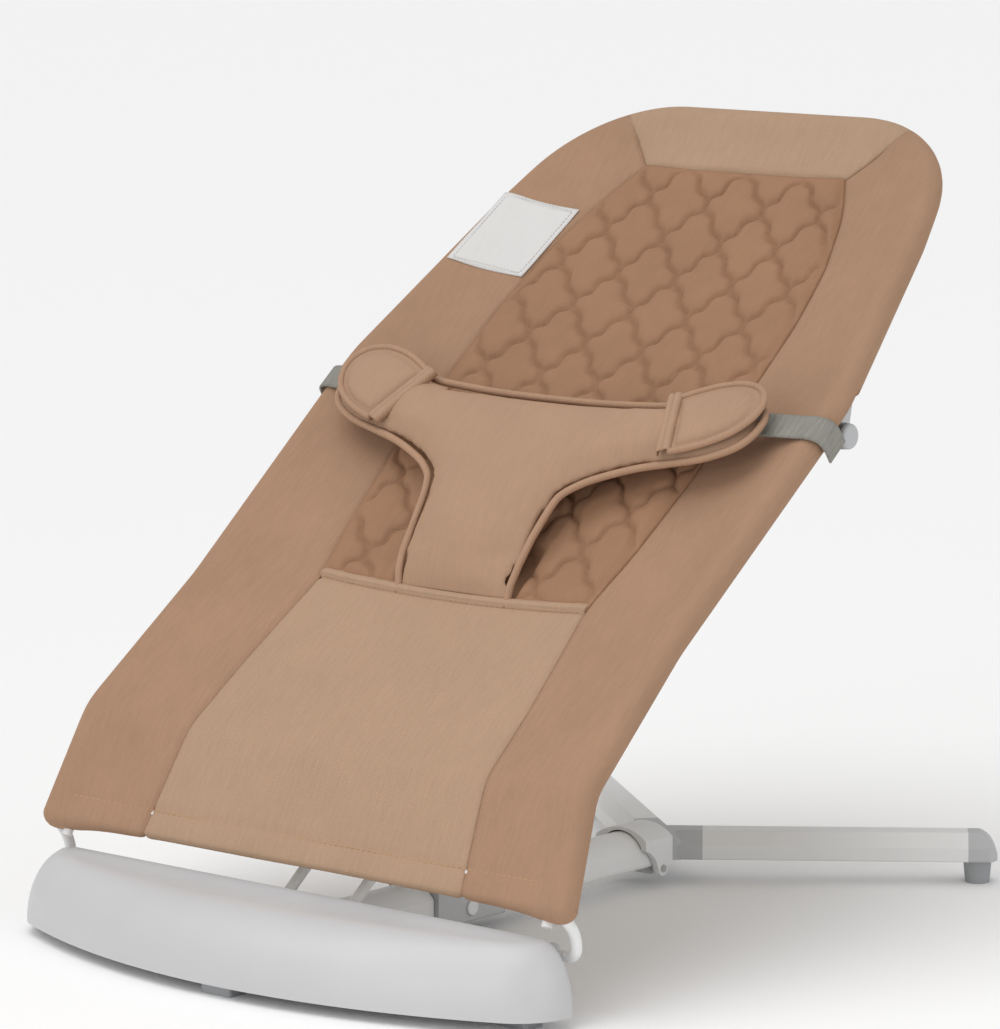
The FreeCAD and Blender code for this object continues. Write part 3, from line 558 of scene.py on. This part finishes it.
def calf_panel():
    t_row = np.concatenate([np.arange(HEM_T, CALF_TOP_T - 8, ROW), np.arange(CALF_TOP_T - 8, LIP_T, 1.1)])
    share = panel_columns(83)
    t = np.repeat(t_row[:, None], len(share), 1)
    v = seam_v(t_row)[:, None] * share[None, :]
    from_seam = seam_v(t_row)[:, None] * (1 - np.abs(share[None, :]))
    bow = 3.0 * (1 - share[None, :] ** 2) * np.clip((t - 40) / 44, 0, 1)
    h = sheet_height(t, v) - groove(from_seam, t, v)
    h += 0.45 * wave(t, v, 80.0, 17.0) * np.clip(from_seam / 15, 0, 1)
    h += 0.5 * pucker(from_seam) * wave(t * 2.3, v * 0.7, 11.0, 21.0)
    h -= 1.2 * np.exp(-((t - HEM_STITCH_T) / 2.0) ** 2)
    h -= 1.3 * np.exp(-((t - (CALF_TOP_T - 5.0)) / 1.6) ** 2)
    edge = np.clip((t - CALF_TOP_T) / 4.5, 0, 1)
    h += 2.4 * np.sqrt(1 - edge ** 2) * (t > CALF_TOP_T - 4)
    h -= 2.2 * edge
    extra = hem_rows(t[0], v[0], h[0], np.full(len(share), HEM_ROD_H))
    t, v, h = with_hem(extra, (t - bow, v, h))
    points = place(t, v, h)
    uv = np.stack([v, t], -1) * MM
    piece = mesh_object("calf_panel", points.reshape(-1, 3), grid_faces(len(t), len(share)),
                        uv.reshape(-1, 2), [panel_cloth, lining_cloth])
    solidify(piece, SHEET_THICK, 1)
    return piece


def head_panel():
    half = seam_v(QUILT_TOP_T)
    count = 91
    bottom_share = np.linspace(-1, 1, count)
    corner = [bow_point(a) for a in np.linspace(MEET, math.pi / 2, 16)]
    top = evened(corner + [(a, -b) for a, b in corner[::-1]], count)[::-1]
    bottom = np.stack([QUILT_TOP_T + 2.0 * (1 - bottom_share ** 2), half * bottom_share], -1)
    share = np.linspace(0, 1, 24) ** 1.2
    line = bottom[None] + (top - bottom)[None] * share[:, None, None]
    t, v = line[..., 0], line[..., 1]
    slant = np.abs(np.abs(bottom_share) - 1)[None, :] * np.linalg.norm(
        line[:, -1] - line[:, 0], axis=1)[:, None] / 2
    from_seam = np.minimum(slant, np.repeat((share * 46)[:, None], count, 1))
    h = sheet_height(t, v) - groove(from_seam, t, v)
    h += 0.4 * wave(t, v, 60.0, 31.0) * np.clip(from_seam / 12, 0, 1)
    ahead = np.gradient(top, axis=0)
    ahead /= np.linalg.norm(ahead, axis=1)[:, None]
    outward = np.stack([ahead[:, 1], -ahead[:, 0]], -1)
    rings = wrap_columns(top, outward)
    t = np.concatenate([t] + [p[None, :, 0] for p, r in rings])
    v = np.concatenate([v] + [p[None, :, 1] for p, r in rings])
    h = np.concatenate([h] + [r[None] for p, r in rings])
    girth = np.concatenate([np.zeros(len(share)), np.arange(1, len(rings) + 1) * WRAP_STEP])
    points = place(t, v, h)
    uv = np.stack([v, t + girth[:, None]], -1) * MM
    piece = mesh_object("head_panel", points.reshape(-1, 3), grid_faces(len(t), count),
                        uv.reshape(-1, 2), [panel_cloth, lining_cloth])
    solidify(piece, SHEET_THICK, 1)
    return piece


side_panels = {side: side_panel(side) for side in (-1, 1)}
calf = calf_panel()
head = head_panel()

# ---- quilted panel -------------------------------------------------------------------------------
STEP_A = np.array([-37.3, 33.6])    # from one crossing of the sewn lines to the next, as (t, v)
STEP_B = np.array([34.6, 17.8])
CROSSING = np.array([381.2, 0.7])
LINE_WAVE = 0.042
PUFF = 5.0


def quilt_lines(t, v):
    """Distance in millimetres to the nearest sewn line of the wavy diamond pattern, and cell numbers."""
    basis = np.linalg.inv(np.stack([STEP_A, STEP_B], 1))
    a = basis[0, 0] * (t - CROSSING[0]) + basis[0, 1] * (v - CROSSING[1])
    b = basis[1, 0] * (t - CROSSING[0]) + basis[1, 1] * (v - CROSSING[1])
    a_bent = a + LINE_WAVE * np.sin(4 * np.pi * b)
    b_bent = b + LINE_WAVE * np.sin(4 * np.pi * a)
    area = abs(STEP_A[0] * STEP_B[1] - STEP_A[1] * STEP_B[0])
    tall_a = area / np.linalg.norm(STEP_B)
    tall_b = area / np.linalg.norm(STEP_A)
    near_a = np.abs(a_bent - np.round(a_bent)) * tall_a
    near_b = np.abs(b_bent - np.round(b_bent)) * tall_b
    return near_a, near_b, np.floor(a_bent), np.floor(b_bent)


def quilted_panel():
    t_row = np.arange(CALF_TOP_T - 3, QUILT_TOP_T + 2.5, 1.7)
    share = np.linspace(-1, 1, 151)
    t = np.repeat(t_row[:, None], len(share), 1)
    half = seam_v(t_row) + 0.8
    v = half[:, None] * share[None, :]
    base = sheet_height(t, v) - 0.6
    near_a, near_b, cell_a, cell_b = quilt_lines(t, v)
    ends = np.minimum(t - (CALF_TOP_T - 3), QUILT_TOP_T + 2 - t)
    from_edge = np.clip(np.minimum(half[:, None] * (1 - np.abs(share[None, :])), ends), 0, None)
    sewn = np.minimum(near_a, near_b)
    swell = (1 - np.exp(-near_a / 2.6)) * (1 - np.exp(-near_b / 2.6))
    loose = wave(cell_a * 7.3, cell_b * 9.1, 3.1, 44.0)
    swell *= 0.88 + 0.3 * loose
    rim = 1 - np.exp(-(from_edge / 5.0) ** 1.4)
    puckers = np.exp(-sewn / 5.0) * (1 - np.exp(-sewn / 1.4))
    folds = wave(t * 0.3, v * 1.1, 9.0, 51.0) * puckers
    creases = wave(t * 0.33, v, 9.5, 63.0)
    folds += 1.5 * (0.4 - np.abs(creases)) * swell
    h = base + rim * (0.5 + PUFF * swell + folds)
    h -= 1.3 * np.exp(-sewn ** 2) * rim
    # the stem presses the quilting flat where it comes down to the calf panel
    under_stem = np.clip((56 - np.abs(v)) / 6, 0, 1) * np.clip((128 - t) / 12, 0, 1)
    h -= under_stem * np.clip(h - base + 1.5, 0, None)
    rows, columns = t.shape
    top = place(t, v, h)
    back = place(t[::2, ::3], v[::2, ::3], base[::2, ::3] - 5.0)
    uv_top = np.stack([v, t], -1) * MM
    uv_back = uv_top[::2, ::3]
    back_rows, back_columns = back.shape[:2]
    offset = rows * columns
    faces = grid_faces(rows, columns)
    tops = len(faces)
    faces += grid_faces(back_rows, back_columns, flip=True, offset=offset)
    kind = [0] * tops + [1] * (len(faces) - tops)
    points = np.concatenate([top.reshape(-1, 3), back.reshape(-1, 3)])
    uvs = np.concatenate([uv_top.reshape(-1, 2), uv_back.reshape(-1, 2)])
    edge_top = [(0, j) for j in range(columns)]
    edge_top += [(i, columns - 1) for i in range(1, rows)]
    edge_top += [(rows - 1, j) for j in range(columns - 2, -1, -1)]
    edge_top += [(i, 0) for i in range(rows - 2, 0, -1)]
    loop_top = [i * columns + j for i, j in edge_top]

    def back_of(i, j):
        return offset + min(i // 2, back_rows - 1) * back_columns + min(j // 3, back_columns - 1)

    for a in range(len(loop_top)):
        b = (a + 1) % len(loop_top)
        low_a = back_of(*edge_top[a])
        low_b = back_of(*edge_top[b])
        if low_a == low_b:
            faces.append((loop_top[b], loop_top[a], low_a))
        else:
            faces.append((loop_top[b], loop_top[a], low_a, low_b))
        kind.append(0)
    return mesh_object("quilted_panel", points, faces, uvs, [quilt_cloth, lining_cloth], kind)


quilt = quilted_panel()

# ---- restraint -----------------------------------------------------------------------------------
REST_HALF = [   # (t, v) round the +v half of the restraint, from the foot of its stem to its top edge
    (76, 47), (97, 50.5), (124, 52.5), (152, 57.5), (166, 70), (176, 88), (184, 108), (190, 130), (197, 155),
    (208, 174), (222, 182), (238, 181), (249, 168), (252, 148), (246, 124), (241, 106), (238, 70),
    (236.5, 30),
]
FLAP_HALF = [   # (t, v) round the +v flap, from the top of its seam outwards to the bottom of its seam
    (240, 110), (247, 122), (254, 138), (257.5, 156), (254, 172), (243, 181), (228, 180), (213, 170),
    (201, 152), (193, 131),
]
OUTLINE_STEP = 2.4
PAD_VOXEL = 0.0042      # metres
PAD_SWELL = 0.004       # the most that the air pressure may move a point, in metres
CLOTH_FRAMES = 20


def rounded(points, spacing):
    """A smooth line through the points, as even (t, v) steps."""
    points = [np.array(p, float) for p in points]
    knots = [2 * points[0] - points[1]] + points + [2 * points[-1] - points[-2]]
    line = []
    for p0, p1, p2, p3 in zip(knots, knots[1:], knots[2:], knots[3:]):
        for u in np.linspace(0, 1, 12, endpoint=False):
            line.append(0.5 * (2 * p1 + (p2 - p0) * u + (2 * p0 - 5 * p1 + 4 * p2 - p3) * u ** 2
                               + (3 * p1 - p0 - 3 * p2 + p3) * u ** 3))
    line.append(points[-1])
    total = sum(np.linalg.norm(b - a) for a, b in zip(line[:-1], line[1:]))
    return evened(line, int(total / spacing))


def rest_height(t, v):
    """Middle surface of the restraint: its foot is sunk under the calf panel's lip, the rest stands clear."""
    lift = np.interp(t, [76, 82, 88, 100, 120, 152, 200, 260], [-11, -6.0, -1.0, 4.5, 10.0, 17.0, 19.0, 19.0])
    return lift + 0.00012 * np.asarray(v) ** 2


def restraint():
    """The padded T: two flat layers, remeshed, filled to the CAD's depth and then blown up as cloth."""
    outline = rounded(REST_HALF + [(a, -b) for a, b in REST_HALF[::-1]], OUTLINE_STEP)
    count = len(outline)
    half_thick = 3.0
    upper = place(outline[:, 0], outline[:, 1], rest_height(outline[:, 0], outline[:, 1]) + half_thick)
    lower = place(outline[:, 0], outline[:, 1], rest_height(outline[:, 0], outline[:, 1]) - half_thick)
    points = np.concatenate([upper, lower])
    faces = [tuple(range(count)), tuple(range(2 * count - 1, count - 1, -1))]
    faces += [(j, count + j, count + (j + 1) % count, (j + 1) % count) for j in range(count)]
    piece = mesh_object("restraint_pad", points, faces, None, [rest_cloth])
    bpy.context.view_layer.objects.active = piece
    modifier = piece.modifiers.new("remesh", "REMESH")
    modifier.mode = "VOXEL"
    modifier.voxel_size = PAD_VOXEL
    apply_modifiers(piece)
    t, v, h = seat_of(vertex_array(piece))
    mid = rest_height(t, v)
    up = h - mid
    inside = distance_inside(outline, t, v)
    room = np.interp(inside, [0, 3, 8, 16, 30, 60], [2.2, 4.4, 6.6, 8.6, 10.2, 11.0])
    room *= np.interp(np.abs(v), [0, 108, 122, 200], [1.0, 1.0, 0.55, 0.55])
    room *= np.interp(t, [78, 86, 104, 120], [0.25, 0.4, 0.8, 1.0])
    stretch = np.where(up > 0, room * 0.92, room * 0.55)
    shape = np.clip(up / half_thick, -1, 1)
    set_vertices(piece, place(t, v, mid + shape * stretch))
    blow_up(piece)
    smooth = piece.modifiers.new("smooth", "SMOOTH")
    smooth.factor = 0.5
    smooth.iterations = 6
    rounder = piece.modifiers.new("rounder", "SUBSURF")
    rounder.levels = 1
    rounder.render_levels = 1
    apply_modifiers(piece)
    t, v = seat_of(vertex_array(piece))[:2]
    layer = piece.data.uv_layers.new(name="weave")
    flat = [x for loop in piece.data.loops for x in (v[loop.vertex_index] * MM, t[loop.vertex_index] * MM)]
    layer.data.foreach_set("uv", flat)
    piece.data.polygons.foreach_set("use_smooth", [True] * len(piece.data.polygons))
    return piece, outline


def apply_modifiers(piece):
    graph = bpy.context.evaluated_depsgraph_get()
    graph.update()
    final = bpy.data.meshes.new_from_object(piece.evaluated_get(graph), depsgraph=graph)
    piece.modifiers.clear()
    old = piece.data
    piece.data = final
    if not final.materials and old.materials:
        final.materials.append(old.materials[0])


def vertex_array(piece):
    values = np.zeros(len(piece.data.vertices) * 3, np.float32)
    piece.data.vertices.foreach_get("co", values)
    return values.reshape(-1, 3).astype(float)


def set_vertices(piece, points):
    piece.data.vertices.foreach_set("co", np.asarray(points, np.float32).ravel())
    piece.data.update()


def seat_of(points):
    """Seat coordinates of world points that lie over the flat part of the seat."""
    y = points[:, 1] / MM - ANCHOR_Y
    z = points[:, 2] / MM - ANCHOR_Z
    t = y * math.cos(SLOPE) + z * math.sin(SLOPE)
    h = z * math.cos(SLOPE) - y * math.sin(SLOPE)
    return t, points[:, 0] / MM, h


def distance_inside(outline, t, v):
    """Shortest distance to a closed outline, for points inside it."""
    best = np.full(len(t), 1e9)
    closed = np.concatenate([outline, outline[:1]])
    for a, b in zip(closed[:-1], closed[1:]):
        d = b - a
        size = d @ d
        if size < 1e-9:
            continue
        u = np.clip(((t - a[0]) * d[0] + (v - a[1]) * d[1]) / size, 0, 1)
        best = np.minimum(best, np.hypot(t - a[0] - u * d[0], v - a[1] - u * d[1]))
    return best


def blow_up(piece):
    """Cloth with air pressure inside and gravity off; no point moves further than PAD_SWELL."""
    before = vertex_array(piece)
    scene = bpy.context.scene
    cloth = piece.modifiers.new("cloth", "CLOTH")
    settings = cloth.settings
    settings.quality = 6
    settings.mass = 0.3
    settings.tension_stiffness = 25
    settings.compression_stiffness = 25
    settings.shear_stiffness = 12
    settings.bending_stiffness = 1.5
    settings.use_pressure = True
    settings.uniform_pressure_force = 4.0
    settings.effector_weights.gravity = 0
    cloth.point_cache.frame_start = 1
    cloth.point_cache.frame_end = CLOTH_FRAMES
    for number in range(1, CLOTH_FRAMES + 1):
        scene.frame_set(number)
    graph = bpy.context.evaluated_depsgraph_get()
    move = vertex_array(piece.evaluated_get(graph)) - before
    size = np.linalg.norm(move, axis=1)
    move *= (np.minimum(size, PAD_SWELL) / np.maximum(size, 1e-9))[:, None]
    piece.modifiers.remove(cloth)
    set_vertices(piece, before + move)
    scene.frame_set(1)


pad, pad_outline = restraint()


def piping(name, line, height, radius):
    path = place(line[:, 0], line[:, 1], height(line[:, 0], line[:, 1]))
    points, faces = tube_mesh(path, radius * MM, 10, (0, -math.sin(SLOPE), math.cos(SLOPE)))
    t, v = seat_of(points)[:2]
    uvs = np.stack([v, t], -1) * MM
    return mesh_object(name, points, faces, uvs, [piping_cloth])


rest_piping = piping("restraint_piping", pad_outline, rest_height, 2.6)


def flap_height(t, v):
    return rest_height(t, v) + 8.2


def flap(side):
    """Rounded pocket flap over the end of the restraint: flat bound rim, padded middle."""
    arc = rounded(FLAP_HALF, OUTLINE_STEP)
    seam = evened([arc[-1], arc[0]], 26)[1:-1]
    outline = np.concatenate([arc, seam])
    centre = np.array([224.0, 147.0])
    rings = [1.0, 0.94, 0.88, 0.84, 0.80, 0.74, 0.66, 0.54, 0.40, 0.24, 0.10]
    lift = [0.0, 0.4, 0.5, 0.2, 1.4, 2.8, 4.0, 5.0, 5.6, 5.9, 6.0]
    points = []
    uvs = []
    for scale, up in zip(rings, lift):
        ring = centre + (outline - centre) * scale
        points.append(place(ring[:, 0], side * ring[:, 1], flap_height(ring[:, 0], ring[:, 1]) + up))
        uvs.append(np.stack([side * ring[:, 1], ring[:, 0]], -1) * MM)
    count = len(outline)
    points.append(place([centre[0]], [side * centre[1]], [flap_height(*centre) + lift[-1]]))
    uvs.append(np.array([[side * centre[1], centre[0]]]) * MM)
    upper = len(rings) * count
    faces = grid_faces(len(rings), count, closed=True, flip=side < 0)
    for j in range(count):
        k = (j + 1) % count
        face = ((len(rings) - 1) * count + j, (len(rings) - 1) * count + k, upper)
        faces.append(face[::-1] if side < 0 else face)
    under = [0.98, 0.6, 0.2]
    start = upper + 1
    for scale in under:
        ring = centre + (outline - centre) * scale
        points.append(place(ring[:, 0], side * ring[:, 1], flap_height(ring[:, 0], ring[:, 1]) - 1.6))
        uvs.append(np.stack([side * ring[:, 1], ring[:, 0]], -1) * MM)
    for j in range(count):
        k = (j + 1) % count
        face = (j, start + j, start + k, k)
        faces.append(face[::-1] if side < 0 else face)
    faces += grid_faces(len(under), count, closed=True, flip=side > 0, offset=start)
    last = start + (len(under) - 1) * count
    cap = tuple(last + j for j in range(count))
    faces.append(cap if side < 0 else cap[::-1])
    name = "right" if side > 0 else "left"
    made = mesh_object("restraint_flap_" + name, np.concatenate(points), faces, np.concatenate(uvs),
                       [rest_cloth])
    rim = piping("flap_piping_" + name, arc * np.array([1, side]), flap_height, 2.4)
    return made, rim


flaps = [flap(side) for side in (-1, 1)]


def seam_band(side):
    """Raised band of doubled cloth where the flap is sewn on."""
    top = np.array([242.0, 107.5])
    bottom = np.array([191.5, 128.0])
    ahead = (bottom - top) / np.linalg.norm(bottom - top)
    across = np.array([-ahead[1], ahead[0]])
    if across[1] < 0:
        across = -across
    line = evened([top, bottom], 30)
    half_profile = [(1.2, 1.7), (3.0, 1.5), (4.2, 0.4), (4.6, -3.0)]
    profile = [(-u, up) for u, up in half_profile[::-1]] + [(0.0, 0.7)] + half_profile
    points = []
    uvs = []
    for u, up in profile:
        row = line + across * u
        points.append(place(row[:, 0], side * row[:, 1], flap_height(row[:, 0], row[:, 1]) + 1.2 + up))
        uvs.append(np.stack([side * row[:, 1], row[:, 0]], -1) * MM)
    points = np.stack(points)
    faces = grid_faces(len(profile), len(line), flip=side > 0)
    name = "right" if side > 0 else "left"
    band = mesh_object("flap_band_" + name, points.reshape(-1, 3), faces, np.concatenate(uvs), [rest_cloth])
    solidify(band, 1.0)
    threads = []
    for u in (-3.0, 3.0):
        row = line + across * u
        threads.append(place(row[:, 0], side * row[:, 1], flap_height(row[:, 0], row[:, 1]) + 2.9))
    sewn = stitches("flap_stitching_" + name, threads, thread_cloth, 2.4, 1.2, 0.38)
    return band, sewn


bands = [seam_band(side) for side in (-1, 1)]

# ---- straps --------------------------------------------------------------------------------------
STRAP_LOW = 228.0
STRAP_HIGH = 248.0


def strap(side):
    """Ribbed webbing from under the flap, over the side sleeve and down to the frame behind it."""
    corners = [(164, 14.8), (182, 13.6), (200, 12.4), (211, 11.8), (219.0, 8.6), (222.0, 1.0), (221.4, -11.5)]
    path = rounded(corners, 1.5)
    width = np.linspace(STRAP_LOW, STRAP_HIGH, 9)
    rib = 0.22 * np.cos(np.arange(len(path)) * math.pi)
    t = np.repeat(width[None, :], len(path), 0) + (path[:, :1] - 164) * 0.10
    v = np.repeat(path[:, :1], len(width), 1)
    h = np.repeat(path[:, 1:], len(width), 1) + rib[:, None]
    points = place(t, side * v, h)
    travel = np.concatenate([[0], np.cumsum(np.linalg.norm(np.diff(path, axis=0), axis=1))])
    uv = np.stack([np.repeat(travel[:, None], len(width), 1), t], -1) * MM
    name = "webbing_right" if side > 0 else "webbing_left"
    piece = mesh_object(name, points.reshape(-1, 3), grid_faces(len(path), len(width), flip=side > 0),
                        uv.reshape(-1, 2), [webbing])
    solidify(piece, 1.3)
    return piece


straps = {side: strap(side) for side in (-1, 1)}

# ---- label and stitching -------------------------------------------------------------------------
LABEL_T = (367.0, 436.0)
LABEL_OUTER = (-189.5, -180.5)
LABEL_INNER = (-127.0, -118.0)


def label_v(t, share):
    outer = np.interp(t, LABEL_T, LABEL_OUTER)
    inner = np.interp(t, LABEL_T, LABEL_INNER)
    return outer + (inner - outer) * share


def label():
    rows, columns = 24, 30
    t = np.linspace(*LABEL_T, rows)
    share = np.linspace(0, 1, columns)
    v = label_v(t[:, None], share[None, :])
    t = np.repeat(t[:, None], columns, 1)
    h = sheet_height(t, v) + 0.9 + 0.25 * wave(t, v, 22.0, 90.0)
    points = place(t, v, h)
    uv = np.stack([v, t], -1) * MM
    piece = mesh_object("sewn_patch", points.reshape(-1, 3), grid_faces(rows, columns), uv.reshape(-1, 2),
                        [label_cloth])
    solidify(piece, 0.6)
    inset = 2.2
    corners = [(LABEL_T[0] + inset, 0.06), (LABEL_T[0] + inset, 0.94), (LABEL_T[1] - inset, 0.94),
               (LABEL_T[1] - inset, 0.06), (LABEL_T[0] + inset, 0.06)]
    path = evened(corners, 90)
    v_path = label_v(path[:, 0], path[:, 1])
    border = place(path[:, 0], v_path, sheet_height(path[:, 0], v_path) + 1.1)
    sewn = stitches("patch_stitching", [border], white_thread, 2.0, 1.0, 0.3)
    return piece, sewn


patch, patch_thread = label()


def cross_line(t, reach, up):
    v = np.linspace(-reach, reach, 160)
    return place(np.full(len(v), t), v, sheet_height(np.full(len(v), t), v) + up)


hem_thread = stitches("hem_stitching", [cross_line(HEM_STITCH_T, 216, -0.7)], thread_cloth, 3.2, 1.6, 0.45)
lip_line = np.linspace(-112, 112, 100)
lip_bow = 3.0 * (1 - (lip_line / 115.5) ** 2)
lip_t = CALF_TOP_T - 4.6 - lip_bow
lip_thread = stitches("lip_stitching", [place(lip_t, lip_line, sheet_height(lip_t, lip_line) - 0.9)],
                      thread_cloth, 3.0, 1.5, 0.4)

# ---- bodies and replaced nodes --------------------------------------------------------------------
for side, name in ((-1, "left"), (1, "right")):
    panel = side_panels[side]
    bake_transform(panel)
    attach(straps[side], "seat")
    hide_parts("strap_" + name)
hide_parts("seat_fabric_lower")
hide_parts("seat_fabric_back")
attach(calf, "seat")
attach(head, "backrest")
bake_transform(quilt)
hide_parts("quilted_pad_lower", "quilted_pad_back")
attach(pad, "seat")
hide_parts("restraint_bolster")
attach(rest_piping, "seat")
for (lobe, rim), (band, sewn) in zip(flaps, bands):
    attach(lobe, "seat")
    for piece in (rim, band, sewn):
        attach(piece, "seat")
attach(hem_thread, "seat")
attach(lip_thread, "seat")
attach(patch, "backrest")
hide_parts("sewn_label")
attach(patch_thread, "backrest")

# ---- floor, lights and camera --------------------------------------------------------------------
def stage_floor():
    material, _, surface = material_of("stage_floor")
    surface.inputs["Base Color"].default_value = (0.97, 0.97, 0.97, 1)
    surface.inputs["Roughness"].default_value = 0.9
    size = 30.0
    corners = [(-size, -size, 0), (size, -size, 0), (size, size, 0), (-size, size, 0)]
    floor = mesh_object("stage_floor", corners, [(0, 1, 2, 3)], None, [material], smooth=False)


def light(name, place_at, aim, size, power):
    lamp = bpy.data.lights.new(name, "AREA")
    lamp.shape = "DISK"
    lamp.size = size
    lamp.energy = power
    holder = bpy.data.objects.new(name, lamp)
    bpy.context.scene.collection.objects.link(holder)
    holder.location = place_at
    holder.rotation_mode = "QUATERNION"
    holder.rotation_quaternion = (Vector(aim) - Vector(place_at)).to_track_quat("-Z", "Y")


stage_floor()
light("front", (0.3, -2.2, 0.9), (0, -0.1, 0.25), 1.2, 7)
light("fill", (2.4, -0.4, 0.9), (0, 0, 0.25), 1.6, 7)
sky = bpy.data.lights.new("sky", "SUN")
sky.energy = 1.35
sky.angle = math.radians(60)
sky_holder = bpy.data.objects.new("sky", sky)
bpy.context.scene.collection.objects.link(sky_holder)
sky_holder.rotation_mode = "QUATERNION"
sky_holder.rotation_quaternion = Vector((0.12, 0.30, -0.94)).to_track_quat("-Z", "Y")
world = bpy.data.worlds.new("studio")
world.use_nodes = True
world.node_tree.nodes["Background"].inputs["Color"].default_value = (1, 1, 1, 1)
world.node_tree.nodes["Background"].inputs["Strength"].default_value = 0.53
bpy.context.scene.world = world
bpy.context.scene.view_settings.view_transform = "Standard"

CAMERA_AT = (2.2529, -2.6435, 0.8024)
AZIMUTH = 40.602
ELEVATION = 8.622
FOCAL_LENGTH = 182.98
lens = bpy.data.cameras.new("camera")
lens.lens = FOCAL_LENGTH
lens.sensor_width = 36.0
lens.clip_start = 0.05
lens.clip_end = 100.0
camera = bpy.data.objects.new("camera", lens)
bpy.context.scene.collection.objects.link(camera)
camera.location = CAMERA_AT
camera.rotation_euler = (math.radians(90 - ELEVATION), 0, math.radians(AZIMUTH))
bpy.context.scene.camera = camera
